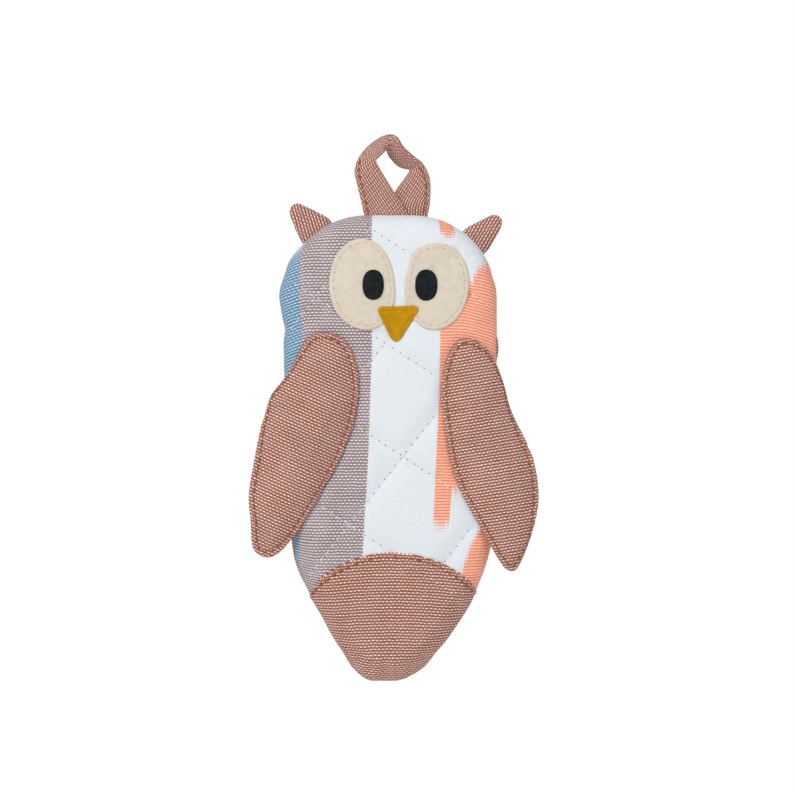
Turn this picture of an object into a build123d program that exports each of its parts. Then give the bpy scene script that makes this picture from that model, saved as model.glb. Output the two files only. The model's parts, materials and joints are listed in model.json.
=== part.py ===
from build123d import *

import os

# A padded, quilted cotton owl that hangs from a strap loop. Millimetres.
# The origin is the point of the loop that a hook carries. The owl hangs down along -Z,
# its face looks along -Y, and left and right are as seen by someone facing it.

os.makedirs("parts", exist_ok=True)

# Body: two padded halves that meet at the side seam, in the plane Y = 0
BODY_CORNERS = [(-42.2, -25.8), (44.6, -25.8), (43.2, -165.0), (1.2, -231.8), (-38.8, -165.0)]
BODY_RADII = [33.6, 33.6, 72.0, 21.8, 72.0]
HALF_THICKNESS = 9.0
EDGE_ROUND = 7.0
CLOTH = 0.8
WADDING = 3.0
FRONT = -1
BACK = 1

# Tail patch: the part of the front inside a circle, whose top is the patch's arched edge
TAIL_CENTRE = (3.0, -202.3)
TAIL_RADIUS = 41.3
TAIL_SEAM = 1.8
TAIL_SEAM_ANGLE = 40.0

# Felt pieces of the face: centre, half width, half height, tilt
FELT = 1.2
LEFT_EYE = ((-9.8, -53.2), 13.0, 18.0, 0.0)
RIGHT_EYE = ((20.4, -54.6), 12.8, 17.4, -8.0)
LEFT_PUPIL = ((-5.1, -53.8), 4.3, 6.1, 0.0)
RIGHT_PUPIL = ((16.1, -53.9), 4.5, 6.3, 0.0)
BEAK_CORNERS = [(-2.8, -62.5), (12.9, -62.1), (3.9, -76.6)]
BEAK_RADII = [1.2, 1.2, 2.0]
EYE_SEAM = 1.8
PUPIL_SEAM = 1.3
BEAK_SEAM = 1.5

# Wings: flat pads sewn to the front along their top edge, free below
LEFT_WING = [
    (-24.8, -72.4), (-16.4, -75.8), (-10.8, -90.2), (-12.4, -108.2), (-20.4, -128.2), (-32.0, -147.8),
    (-48.0, -162.2), (-54.4, -153.0), (-53.6, -127.8), (-48.0, -104.2), (-38.0, -87.4),
]
RIGHT_WING = [
    (33.0, -74.8), (41.2, -79.6), (47.2, -93.4), (53.6, -112.0), (61.0, -134.2), (57.6, -156.2),
    (50.6, -168.2), (39.2, -154.2), (27.6, -131.8), (22.8, -107.8), (23.6, -84.6),
]
WING_GAP = 0.35
WING_CLOTH = 0.8
WING_WADDING = 2.2
WING_ROUND = 1.4
WING_SEAM = 2.4
WING_SEAM_POINTS = 24

# Ears: base corners on the body's edge and the apex, stood off by the room they need to bend
LEFT_EAR = [(-20.4, -28.2), (-33.6, -37.8), (-42.5, -16.6)]
RIGHT_EAR = [(29.4, -32.1), (39.4, -42.2), (52.4, -20.0)]
EAR_TIP_RADIUS = 3.5
EAR_BASE_RADIUS = 1.6
EAR_CLOTH = 1.2
EAR_ROUND = 1.0
EAR_STANDOFF = 1.5

# Hanging loop: one strap whose two ends cross and go into the top seam
LOOP_BASE = -25.4
LOOP_OUTSIDE = [
    (-8.4, LOOP_BASE), (-11.4, -13.9), (-12.6, -8.2), (-8.5, 1.6), (-1.2, 6.1), (2.9, 6.6),
    (6.8, 2.4), (14.8, -4.6), (18.0, -12.4), (16.7, LOOP_BASE),
]
LOOP_HOLE = [(-0.4, 0.0), (-4.0, -3.8), (-2.0, -7.4), (3.3, -16.0), (9.6, -7.1), (3.6, -4.9)]
LOOP_HOLE_RADIUS = 0.9
LOOP_HALF_THICKNESS = 1.8
LOOP_ROUND = 1.7
LOOP_SEAM = [(14.6, -21.0), (15.3, -15.0), (13.8, -8.4)]

# Sewing thread
STITCH_PITCH = 3.2
STITCH_LENGTH = 2.5
THREAD = 0.45
THREAD_CLEARANCE = 1.6

# Quilting: two sets of parallel lines that cross in diamonds, each given by the angle of its
# normal from +X and the distances of its lines from the origin along that normal
QUILTING_SETS = [(-37.7, [10.0, 44.8, 79.7, 114.5]), (-128.0, [24.8, 60.3, 90.5, 127.3])]
QUILTING_REACH = 200.0


def body_sketch(inset):
    """The outline of the body, drawn in by inset."""
    with BuildSketch(Plane.XZ) as sketch:
        with BuildLine():
            FilletPolyline(*BODY_CORNERS, radius=BODY_RADII, close=True)
        make_face()
        if inset:
            offset(amount=-inset)
    return sketch.sketch


def half_body(depth, side):
    """The front or back half of the body, as it is at a depth below its outer surface."""
    with BuildPart() as half:
        extrude(body_sketch(depth), amount=-side * (HALF_THICKNESS - depth))
        outer_face = half.faces().sort_by(Axis.Y)[0 if side == FRONT else -1]
        fillet(outer_face.edges(), radius=EDGE_ROUND - depth)
    return half.part


def oval_sketch(oval, inset=0.0, depth=0.0):
    """An oval felt outline, on the plane at a depth in front of the side seam."""
    centre, half_width, half_height, tilt = oval
    with BuildSketch(Plane.XZ.offset(depth)) as sketch:
        with Locations(centre):
            Ellipse(half_width, half_height, rotation=tilt)
        if inset:
            offset(amount=-inset)
    return sketch.sketch


def beak_sketch(inset=0.0, depth=0.0):
    with BuildSketch(Plane.XZ.offset(depth)) as sketch:
        with BuildLine():
            FilletPolyline(*BEAK_CORNERS, radius=BEAK_RADII, close=True)
        make_face()
        if inset:
            offset(amount=-inset)
    return sketch.sketch


def wing_outline(points, inset):
    """Points on a closed curve that runs inside a wing's edge, at a distance of inset from it."""
    with BuildLine() as edge:
        Spline(*points, periodic=True)
    inner_points = []
    for step in range(WING_SEAM_POINTS):
        share = step / WING_SEAM_POINTS
        along = edge.edge().tangent_at(share)
        inward = Vector(along.Y, -along.X)
        inner_points.append(edge.edge().position_at(share) + inward * inset)
    return inner_points


def wing_sketch(points, inset=0.0, depth=0.0):
    if inset:
        points = wing_outline(points, inset)
    with BuildSketch(Plane.XZ.offset(depth)) as sketch:
        with BuildLine():
            Spline(*points, periodic=True)
        make_face()
    return sketch.sketch


def stitch_planes(path, depth):
    """One plane for each stitch along a path, on a flat surface in front of the side seam."""
    count = round(path.length / STITCH_PITCH)
    planes = []
    for step in range(count):
        share = (step + 0.5) / count
        point = path.position_at(share)
        along = path.tangent_at(share)
        planes.append(Plane((point.X, -depth, point.Z), x_dir=along, z_dir=(0, FRONT, 0)))
    return planes


def clear_of(planes, covers):
    """The planes whose stitches stay clear of the outlines that lie over them."""
    kept = []
    for plane in planes:
        point = Vector(plane.origin.X, 0, plane.origin.Z)
        if all(cover.distance_to(point) > THREAD_CLEARANCE for cover in covers):
            kept.append(plane)
    return kept


def write_part(part, label):
    part.label = label
    export_step(part, f"parts/{label}.step")


def write_stitches(planes, label):
    """A row of equal stitches, each its own solid, as one sub-part."""
    with BuildPart() as stitches:
        with BuildSketch(*planes):
            SlotOverall(STITCH_LENGTH, THREAD)
        extrude(amount=THREAD)
    write_part(stitches.part, label)


# The body's skins, one inside the other, are cut from these solids.
front_surface = half_body(0.0, FRONT)
front_under_cloth = half_body(CLOTH, FRONT)
front_under_wadding = half_body(CLOTH + WADDING, FRONT)
back_surface = half_body(0.0, BACK)
back_under_cloth = half_body(CLOTH, BACK)
tail_surface = half_body(-CLOTH, FRONT)

with BuildPart() as front_panel:
    add(front_surface)
    add(front_under_cloth, mode=Mode.SUBTRACT)
write_part(front_panel.part, "front_panel")

with BuildPart() as front_wadding:
    add(front_under_cloth)
    add(front_under_wadding, mode=Mode.SUBTRACT)
write_part(front_wadding.part, "front_wadding")

with BuildPart() as back_panel:
    add(back_surface)
    add(back_under_cloth, mode=Mode.SUBTRACT)
write_part(back_panel.part, "back_panel")

with BuildPart() as body_filling:
    add(front_under_wadding)
    add(back_under_cloth)
write_part(body_filling.part, "body_filling")

# The tail patch lies over the front panel.
with BuildPart() as tail_patch:
    add(tail_surface)
    add(front_surface, mode=Mode.SUBTRACT)
    with BuildSketch(Plane.XZ):
        with Locations(TAIL_CENTRE):
            Circle(TAIL_RADIUS)
    extrude(amount=2 * HALF_THICKNESS, mode=Mode.INTERSECT)
write_part(tail_patch.part, "tail_patch")

with BuildLine(Plane.XZ) as tail_seam:
    CenterArc(TAIL_CENTRE, TAIL_RADIUS - TAIL_SEAM, 90 - TAIL_SEAM_ANGLE, 2 * TAIL_SEAM_ANGLE)
write_stitches(stitch_planes(tail_seam.edge(), HALF_THICKNESS + CLOTH), "tail_stitches")

# Felt eye patches lie on the front panel, the pupils and the beak lie on them.
patch_top = HALF_THICKNESS + FELT
felt_top = patch_top + FELT

with BuildPart() as left_eye_patch:
    extrude(oval_sketch(LEFT_EYE, depth=HALF_THICKNESS), amount=FELT)
write_part(left_eye_patch.part, "left_eye_patch")

with BuildPart() as right_eye_patch:
    extrude(oval_sketch(RIGHT_EYE, depth=HALF_THICKNESS), amount=FELT)
write_part(right_eye_patch.part, "right_eye_patch")

with BuildPart() as left_pupil:
    extrude(oval_sketch(LEFT_PUPIL, depth=patch_top), amount=FELT)
write_part(left_pupil.part, "left_pupil")

with BuildPart() as right_pupil:
    extrude(oval_sketch(RIGHT_PUPIL, depth=patch_top), amount=FELT)
write_part(right_pupil.part, "right_pupil")

# The beak steps down from the eye patches to the front panel between them.
with BuildPart() as beak:
    extrude(beak_sketch(depth=HALF_THICKNESS), amount=2 * FELT)
    add(left_eye_patch.part, mode=Mode.SUBTRACT)
    add(right_eye_patch.part, mode=Mode.SUBTRACT)
write_part(beak.part, "beak")

beak_cover = beak_sketch().face()
for side, eye, pupil in (("left", LEFT_EYE, LEFT_PUPIL), ("right", RIGHT_EYE, RIGHT_PUPIL)):
    eye_seam = oval_sketch(eye, inset=EYE_SEAM).face().outer_wire()
    eye_planes = clear_of(stitch_planes(eye_seam, patch_top), [beak_cover])
    write_stitches(eye_planes, f"{side}_eye_stitches")
    pupil_seam = oval_sketch(pupil, inset=PUPIL_SEAM).face().outer_wire()
    write_stitches(stitch_planes(pupil_seam, felt_top), f"{side}_pupil_stitches")

beak_seam = beak_sketch(inset=BEAK_SEAM).face().outer_wire()
write_stitches(stitch_planes(beak_seam, felt_top), "beak_stitches")

# Each wing is a back, a layer of wadding and a front that closes round the wadding.
wing_back_depth = HALF_THICKNESS + WING_GAP
wadding_depth = wing_back_depth + WING_CLOTH
wing_top = wadding_depth + WING_WADDING + WING_CLOTH
for side, outline in (("left", LEFT_WING), ("right", RIGHT_WING)):
    with BuildPart() as wing_back:
        extrude(wing_sketch(outline, depth=wing_back_depth), amount=WING_CLOTH)
    write_part(wing_back.part, f"{side}_wing_back")

    with BuildPart() as wing_wadding:
        extrude(wing_sketch(outline, inset=WING_SEAM, depth=wadding_depth), amount=WING_WADDING)
    write_part(wing_wadding.part, f"{side}_wing_wadding")

    with BuildPart() as wing_front:
        extrude(wing_sketch(outline, depth=wadding_depth), amount=WING_WADDING + WING_CLOTH)
        fillet(wing_front.faces().sort_by(Axis.Y)[0].edges(), radius=WING_ROUND)
        add(wing_wadding.part, mode=Mode.SUBTRACT)
    write_part(wing_front.part, f"{side}_wing_front")

    wing_seam = wing_sketch(outline, inset=WING_SEAM).face().outer_wire()
    write_stitches(stitch_planes(wing_seam, wing_top), f"{side}_wing_stitches")

# The quilting shows where nothing is sewn over the front panel.
quilting_limit = body_sketch(EDGE_ROUND + THREAD_CLEARANCE).face()
with BuildSketch(Plane.XZ) as tail_cover:
    with Locations(TAIL_CENTRE):
        Circle(TAIL_RADIUS)
quilting_covers = [
    oval_sketch(LEFT_EYE).face(),
    oval_sketch(RIGHT_EYE).face(),
    beak_cover,
    wing_sketch(LEFT_WING).face(),
    wing_sketch(RIGHT_WING).face(),
    tail_cover.sketch.face(),
]
quilting_planes = []
for normal_angle, distances in QUILTING_SETS:
    for distance in distances:
        middle = Vector(distance, 0).rotate(Axis.Z, normal_angle)
        reach = Vector(0, QUILTING_REACH).rotate(Axis.Z, normal_angle)
        with BuildLine(Plane.XZ) as quilting_line:
            Line(tuple(middle - reach), tuple(middle + reach))
        quilting_planes += stitch_planes(quilting_line.edge(), HALF_THICKNESS)
quilting_planes = [
    plane
    for plane in clear_of(quilting_planes, quilting_covers)
    if quilting_limit.distance_to(Vector(plane.origin.X, 0, plane.origin.Z)) < THREAD
]
write_stitches(quilting_planes, "quilting_stitches")

# Each ear is two layers of cloth, turned out and flattened.
for side, corners in (("left", LEFT_EAR), ("right", RIGHT_EAR)):
    low, high, apex = (Vector(*corner) for corner in corners)
    base = (high - low).normalized()
    outward = Vector(-base.Y, base.X)
    if outward.dot(apex - low) < 0:
        outward = -outward
    points = [low + outward * EAR_STANDOFF, high + outward * EAR_STANDOFF, apex]
    ear_radii = [EAR_BASE_RADIUS, EAR_BASE_RADIUS, EAR_TIP_RADIUS]
    for layer, direction in (("front", FRONT), ("back", BACK)):
        with BuildPart() as ear_layer:
            with BuildSketch(Plane.XZ):
                with BuildLine():
                    FilletPolyline(*points, radius=ear_radii, close=True)
                make_face()
            extrude(amount=-direction * EAR_CLOTH)
            outer_face = ear_layer.faces().sort_by(Axis.Y)[0 if direction == FRONT else -1]
            fillet(outer_face.edges(), radius=EAR_ROUND)
        write_part(ear_layer.part, f"{side}_ear_{layer}")

# The loop's lower edge is rounded, so that it swings over the top seam.
with BuildPart() as hanging_loop:
    with BuildSketch(Plane.XZ):
        with BuildLine():
            Spline(*LOOP_OUTSIDE)
            Line(LOOP_OUTSIDE[-1], LOOP_OUTSIDE[0])
        make_face()
        with BuildLine():
            FilletPolyline(*LOOP_HOLE, radius=LOOP_HOLE_RADIUS, close=True)
        make_face(mode=Mode.SUBTRACT)
    extrude(amount=LOOP_HALF_THICKNESS, both=True)
    fillet(hanging_loop.edges().filter_by(Axis.X).group_by(Axis.Z)[0], radius=LOOP_ROUND)
write_part(hanging_loop.part, "hanging_loop")

with BuildLine(Plane.XZ) as loop_seam:
    Spline(*LOOP_SEAM)
write_stitches(stitch_planes(loop_seam.edge(), LOOP_HALF_THICKNESS), "hanging_loop_stitches")
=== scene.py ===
import json
import math
import random

import bpy
import numpy as np
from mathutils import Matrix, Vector
from mathutils.bvhtree import BVHTree
from mathutils.geometry import convex_hull_2d, delaunay_2d_cdt


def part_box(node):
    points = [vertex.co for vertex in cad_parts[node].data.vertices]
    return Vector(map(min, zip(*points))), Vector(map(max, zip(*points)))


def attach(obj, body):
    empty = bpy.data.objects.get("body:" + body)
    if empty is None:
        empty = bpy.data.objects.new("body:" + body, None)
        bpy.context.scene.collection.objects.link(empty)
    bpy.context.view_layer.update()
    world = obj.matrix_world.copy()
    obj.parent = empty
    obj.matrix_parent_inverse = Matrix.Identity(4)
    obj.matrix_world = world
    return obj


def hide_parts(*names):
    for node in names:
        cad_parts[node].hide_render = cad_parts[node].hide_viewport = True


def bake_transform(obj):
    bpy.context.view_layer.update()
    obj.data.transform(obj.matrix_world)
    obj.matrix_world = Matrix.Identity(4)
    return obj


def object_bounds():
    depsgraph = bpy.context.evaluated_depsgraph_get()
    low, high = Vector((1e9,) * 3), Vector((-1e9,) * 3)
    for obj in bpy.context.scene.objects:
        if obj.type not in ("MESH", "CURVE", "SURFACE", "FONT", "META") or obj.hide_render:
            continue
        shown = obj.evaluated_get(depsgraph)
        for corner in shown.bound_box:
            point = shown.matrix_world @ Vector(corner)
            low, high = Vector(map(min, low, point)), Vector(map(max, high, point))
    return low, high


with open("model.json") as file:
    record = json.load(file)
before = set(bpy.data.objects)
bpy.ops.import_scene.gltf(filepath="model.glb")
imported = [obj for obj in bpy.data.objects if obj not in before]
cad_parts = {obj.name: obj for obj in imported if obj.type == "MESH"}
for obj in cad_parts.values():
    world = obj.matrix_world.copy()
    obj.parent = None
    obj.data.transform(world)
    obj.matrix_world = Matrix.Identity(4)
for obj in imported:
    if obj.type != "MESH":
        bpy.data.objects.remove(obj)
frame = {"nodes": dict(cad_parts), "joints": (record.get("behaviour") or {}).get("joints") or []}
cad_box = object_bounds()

# The visual model of a padded, quilted cotton owl. Shapes are worked out in millimetres in the
# frame of the CAD model and written to the meshes in metres. The owl's face looks along -Y.
MM = 0.001
SEED = 7
SIDES = ("left", "right")

# ---------------------------------------------------------------- sizes, in millimetres
PANEL_SPACING = 1.5
WING_SPACING = 1.3
FELT_SPACING = 0.55
# How far lines stay off an outline and grid points off both, as shares of the spacing
LINE_CLEAR = 0.35
GRID_CLEAR = 0.55

# The stuffed body: how wide its rounded edge is, how much its middle rises and how far in, how
# much thinner its foot is, the groove along the side seam, and the seam allowance
EDGE_WIDTH = 8.5
CROWN = 0.5
CROWN_REACH = 16.0
TAIL_THINNING = 0.24
SEAM_GROOVE = 0.45
SEAM_GROOVE_WIDTH = 1.3
HEM = 2.4
HALF_THICKNESS = -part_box("front_panel")[0].y / MM
WING_BACK = -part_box("left_wing_back")[1].y / MM
WING_DEPTH = (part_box("left_wing_back")[1].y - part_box("left_wing_front")[0].y) / MM

# Quilting: the angle of each set's normal from +X and the distances of its lines along it
QUILTING_SETS = [(-38.0, [14.0, 47.2, 80.6, 119.7]), (-123.4, [29.3, 64.5, 98.5, 133.1])]
# How deep the quilting pulls the front in, the length of its stitches and the groove's width
QUILTING_PULL = 0.4
QUILTING_PITCH = 3.55
QUILTING_WIDTH = 2.2
# A point this close to a line is on it
ON_LINE = 0.02
# The front's edge stays as it is for this far in, and swells more and more over this width
PINNED_EDGE = 1.0
EASE_WIDTH = 7.0
# Room left between the front and a wing
UNDER_WING = 0.45

# The tail patch, cut to the body's outline below an arc
TAIL_RADIUS = 45.0
TAIL_CENTRE = np.array([3.0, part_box("tail_patch")[1].z / MM - TAIL_RADIUS])
TAIL_CLOTH = 0.7
TAIL_SEAM = 1.6
# Where the patch's arched edge starts and ends, in degrees from +X, and how far its weft sags
TAIL_ARC = (12, 168)
TAIL_ARCH = 0.0022

STITCH_PITCH = 3.2
THREAD_RADIUS = 0.30
LINE_SPACING = 0.8

# Felt: the thickness of each kind of piece, and how far in from its edge it is sewn
EYE_FELT = 0.95
PUPIL_FELT = 0.9
BEAK_FELT = 1.1
EYE_SEAM = 1.8
PUPIL_SEAM = 1.2
BEAK_SEAM = 1.5
# The share of the thickness that rounds off at the edge, how deep sewing and needle dent it, how
# lumpy it is before it is evened out, and how far it sinks into the cloth below
FELT_ROUND = 0.55
SEAM_DENT = 0.06
NEEDLE_DENT = 0.38
FELT_LUMPS = 0.35
FELT_SUNK = 0.15
# How much wider and longer the beak is than in the CAD model
BEAK_GROWN = (1.18, 1.17)

# Wings: how far in they are sewn, the border's height and rounding, the share of it that stays
# flat, how much the sewing presses it down, how soon the middle rises, and how far the edge
# stays off the body
WING_SEAM = 2.4
WING_BORDER = 1.15
WING_EDGE = 0.9
WING_FLAT = 0.48
WING_PRESSED = 0.45
WING_RISE = 3.2
WING_CLEAR = 0.55
# Which way each wing's and ear's weft runs, in degrees from +X
WING_GRAINS = {"left": -23.6, "right": 9.7}
EAR_GRAINS = {"left": -73.0, "right": 60.0}

# Ears: how far the base goes into the side seam, and how full the middle is
EAR_SPACING = 1.0
EAR_SUNK = 5.0
EAR_FULLNESS = 1.2

# Uneven outlines: X and Z of the middle of a pull, its reach and how far out it goes
PULLS = {
    "left_wing_back": [(-45.5, -98.0, 6.0, 1.5), (-55.5, -147.0, 7.0, -1.2), (-51.5, -159.5, 5.5, 1.9)],
    "right_wing_back": [(48.5, -103.0, 7.0, -0.9), (58.0, -122.0, 9.0, 1.0), (51.0, -166.5, 4.5, 0.7)],
    "left_eye_patch": [(-3.6, -69.0, 6.0, 1.6), (2.0, -60.6, 6.0, 1.2)],
    "right_eye_patch": [(12.6, -41.1, 6.0, 1.6)],
}
# How much squarer than an ellipse an outline is
SQUARER = {"left_pupil": 0.045, "right_pupil": 0.045}
# Where a wing's sewing runs nearer to the edge: X and Z, reach and how much nearer
SEAM_SHIFTS = {
    "left": [(-43.0, -97.0, 17.0, 1.3)],
    "right": [(46.5, -95.0, 15.0, 1.6), (57.0, -156.0, 9.0, 1.5)],
}

# Weave: distance between warp threads and between weft threads
WARP_PITCH = 0.80
WEFT_PITCH = 1.19
FINE_PITCH = 0.64
# Added to a weft thread's number, so that its shade isn't the same as a warp thread's
WEFT_SHADES = 777.0


# ---------------------------------------------------------------- numbers and vectors
def unit(vectors):
    """The vectors, one to a row, made 1 long."""
    return vectors / np.linalg.norm(vectors, axis=1)[:, None]


def clamped(values):
    return np.clip(values, 0.0, 1.0)


def bell(values, middle, width):
    return np.exp(-(((values - middle) / width) ** 2))


def bells(values, pulls):
    """The sum of some bells, each given as its height, its middle and its width."""
    return sum(height * bell(values, middle, width) for height, middle, width in pulls)


def nearness(points, x, z, reach):
    """1 at a place in the front view, falling to 0 around it."""
    return np.exp(-((points - (x, z)) ** 2).sum(1) / reach**2)


def window(values, low, high, soft):
    """1 between low and high and 0 outside, with soft steps."""
    return 1 / (1 + np.exp(-(values - low) / soft)) / (1 + np.exp((values - high) / soft))


def rounded(depth, reach):
    """A quarter circle in section: 0 at the edge, 1 from the reach inwards."""
    return np.sqrt(1 - (1 - clamped(depth / reach)) ** 2)


def lengths(line):
    """How far along a line each of its points is."""
    return np.concatenate([[0.0], np.cumsum(np.linalg.norm(np.diff(line, axis=0), axis=1))])


def placed(flat, y):
    """Points in space from the front view and their Y."""
    return np.column_stack([flat[:, 0], y, flat[:, 1]])


def band(near, far):
    """Triangles between two closed rows of vertices."""
    faces = []
    for a, b, c, d in zip(near, near[1:] + near[:1], far, far[1:] + far[:1]):
        faces += [[b, a, c], [b, c, d]]
    return faces


def joint_named(name):
    return next(joint for joint in frame["joints"] if joint["name"] == name)


# ---------------------------------------------------------------- outlines and flat patterns
def resample(points, spacing, closed=True):
    """The same line as points evenly spaced along it."""
    loop = np.vstack([points, points[:1]]) if closed else np.asarray(points, float)
    along = lengths(loop)
    count = max(3, round(along[-1] / spacing))
    if closed:
        at = np.linspace(0.0, along[-1], count, endpoint=False)
    else:
        at = np.linspace(0.0, along[-1], count + 1)
    return np.column_stack([np.interp(at, along, loop[:, k]) for k in range(loop.shape[1])])


def hull(points):
    """The convex outline of points in the plane, anticlockwise."""
    order = convex_hull_2d([Vector((float(x), float(y))) for x, y in points])
    loop = points[order]
    following = np.roll(loop, -1, axis=0)
    area = (loop[:, 0] * following[:, 1] - following[:, 0] * loop[:, 1]).sum()
    return loop if area > 0 else loop[::-1]


def smooth_loop(loop, rounds):
    for _ in range(rounds):
        loop = 0.5 * loop + 0.25 * (np.roll(loop, 1, axis=0) + np.roll(loop, -1, axis=0))
    return loop


def node_points(node):
    """The front view of a CAD node's vertices, in millimetres."""
    return np.array([(v.co.x, v.co.z) for v in frame["nodes"][node].data.vertices]) / MM


def node_outline(node, spacing):
    """The front view of a CAD node, with the small uneven pulls of hand sewing."""
    loop = smooth_loop(resample(hull(node_points(node)), spacing), 2)
    centre = (loop.min(0) + loop.max(0)) / 2
    way = (loop - centre) / (loop.max(0) - loop.min(0))
    way = unit(way)
    corner = (2 * way[:, 0] * way[:, 1]) ** 2
    loop = centre + (loop - centre) * (1 + SQUARER.get(node, 0.0) * corner)[:, None]
    inward = loop_normals(loop)
    for x, z, reach, amount in PULLS.get(node, ()):
        loop = loop - inward * (nearness(loop, x, z, reach) * amount)[:, None]
    return resample(loop, spacing)


def loop_normals(loop):
    """The inward direction at each point of an anticlockwise loop."""
    along = np.roll(loop, -1, axis=0) - np.roll(loop, 1, axis=0)
    inward = np.column_stack([-along[:, 1], along[:, 0]])
    return unit(inward)


def moved_in(loop, distance):
    return loop + loop_normals(loop) * distance


def inside(points, loop):
    """How far each point lies inside a loop, and the inward direction there."""
    step = np.roll(loop, -1, axis=0) - loop
    normals = loop_normals(loop)
    offset = points[:, None, :] - loop[None, :, :]
    share = clamped((offset * step).sum(2) / (step**2).sum(1))
    gap = np.linalg.norm(offset - share[:, :, None] * step, axis=2)
    nearest = gap.argmin(1)
    rows = np.arange(len(points))
    t = share[rows, nearest][:, None]
    inward = normals[nearest] * (1 - t) + np.roll(normals, -1, axis=0)[nearest] * t
    inward = unit(inward)
    side = (offset[rows, nearest] * normals[nearest]).sum(1)
    distance = gap[rows, nearest]
    return np.where(side >= -1e-6, distance, -distance), inward


def depth_in(points, loop):
    """How far each point lies inside a loop, and 0 outside it."""
    return np.maximum(inside(points, loop)[0], 0.0)


def line_distance(points, line):
    """The distance of each point from an open line."""
    step = np.diff(line, axis=0)
    offset = points[:, None, :] - line[None, :-1, :]
    share = clamped((offset * step).sum(2) / (step**2).sum(1))
    return np.linalg.norm(offset - share[:, :, None] * step, axis=2).min(1)


def pattern(loop, spacing, lines=()):
    """A flat pattern cut to a loop, in even triangles whose edges follow the lines."""
    points = [tuple(p) for p in loop]
    edges = [(i, (i + 1) % len(loop)) for i in range(len(loop))]
    kept_lines = []
    for line in lines:
        deep = inside(line, loop)[0] > LINE_CLEAR * spacing
        for i, point in enumerate(line):
            if deep[i]:
                points.append(tuple(point))
                if i and deep[i - 1]:
                    edges.append((len(points) - 2, len(points) - 1))
        kept_lines.append(line[deep])
    low, high = loop.min(0), loop.max(0)
    grid = []
    row_height = spacing * math.sqrt(0.75)
    for j in range(int((high[1] - low[1]) / row_height) + 1):
        shift = 0.5 * spacing * (j % 2)
        for i in range(int((high[0] - low[0]) / spacing) + 1):
            grid.append((low[0] + shift + i * spacing, low[1] + j * row_height))
    grid = np.array(grid)
    keep = inside(grid, loop)[0] > GRID_CLEAR * spacing
    for line in kept_lines:
        if len(line) > 1:
            keep &= line_distance(grid, line) > GRID_CLEAR * spacing
    points += [tuple(p) for p in grid[keep]]
    border = [list(range(len(loop)))]
    vectors = [Vector((float(x), float(y))) for x, y in points]
    found, _, faces, origins, _, _ = delaunay_2d_cdt(vectors, edges, border, 1, 1e-5)
    flat = np.array([(v.x, v.y) for v in found])
    triangles = []
    for face in faces:
        a, b, c = (flat[i] for i in face[:3])
        area = (b[0] - a[0]) * (c[1] - a[1]) - (b[1] - a[1]) * (c[0] - a[0])
        triangles.append(list(face) if area > 0 else list(face)[::-1])
    ring = [0] * len(loop)
    for index, source in enumerate(origins):
        for i in source:
            if i < len(loop):
                ring[i] = index
    return flat, triangles, ring


def cut_size(flat, faces):
    """What a flat pattern measures in metres: its width and length, and its area."""
    a, b, c = (flat[[face[k] for face in faces]] for k in range(3))
    ab, ac = b - a, c - a
    area = 0.5 * np.abs(ab[:, 0] * ac[:, 1] - ab[:, 1] * ac[:, 0]).sum()
    width, length = flat.max(0) - flat.min(0)
    return (width * MM, length * MM), area * MM**2


# ---------------------------------------------------------------- meshes
def divided(points, flat, faces):
    """Loop's subdivision of a triangle mesh, with open edges kept as smooth lines."""
    faces = np.array(faces)
    edges = np.vstack([faces[:, [0, 1]], faces[:, [1, 2]], faces[:, [2, 0]]])
    opposite = np.concatenate([faces[:, 2], faces[:, 0], faces[:, 1]])
    key = np.sort(edges, axis=1)
    unique, index, amount = np.unique(key, axis=0, return_inverse=True, return_counts=True)
    index = index.ravel()
    a, b = unique[:, 0], unique[:, 1]
    other = np.zeros((len(unique), 3))
    np.add.at(other, index, points[opposite])
    inner = (amount == 2)[:, None]
    ends = points[a] + points[b]
    middle = np.where(inner, 0.375 * ends + 0.125 * other, 0.5 * ends)
    count = len(points)
    total = np.zeros((count, 3))
    np.add.at(total, a, points[b])
    np.add.at(total, b, points[a])
    valence = np.bincount(unique.ravel(), minlength=count)
    share = 0.625 - (0.375 + 0.25 * np.cos(2 * math.pi / np.maximum(valence, 3))) ** 2
    share = share[:, None]
    moved = points * (1 - share) + total * share / np.maximum(valence, 1)[:, None]
    open_edges = unique[amount != 2]
    rim = np.zeros((count, 3))
    np.add.at(rim, open_edges[:, 0], points[open_edges[:, 1]])
    np.add.at(rim, open_edges[:, 1], points[open_edges[:, 0]])
    rim_count = np.bincount(open_edges.ravel(), minlength=count)
    on_rim = rim_count == 2
    moved[on_rim] = 0.75 * points[on_rim] + 0.125 * rim[on_rim]
    moved[rim_count > 2] = points[rim_count > 2]
    size = len(faces)
    ab, bc, ca = (count + index[k * size:(k + 1) * size] for k in range(3))
    corner = faces.T
    made = np.vstack([
        np.column_stack([corner[0], ab, ca]),
        np.column_stack([ab, corner[1], bc]),
        np.column_stack([ca, bc, corner[2]]),
        np.column_stack([ab, bc, ca]),
    ])
    own_flat = np.vstack([flat, 0.5 * (flat[a] + flat[b])])
    return np.vstack([moved, middle]), own_flat, made.tolist()


def linked(name, data):
    """A new object in the scene."""
    item = bpy.data.objects.new(name, data)
    bpy.context.scene.collection.objects.link(item)
    return item


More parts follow.
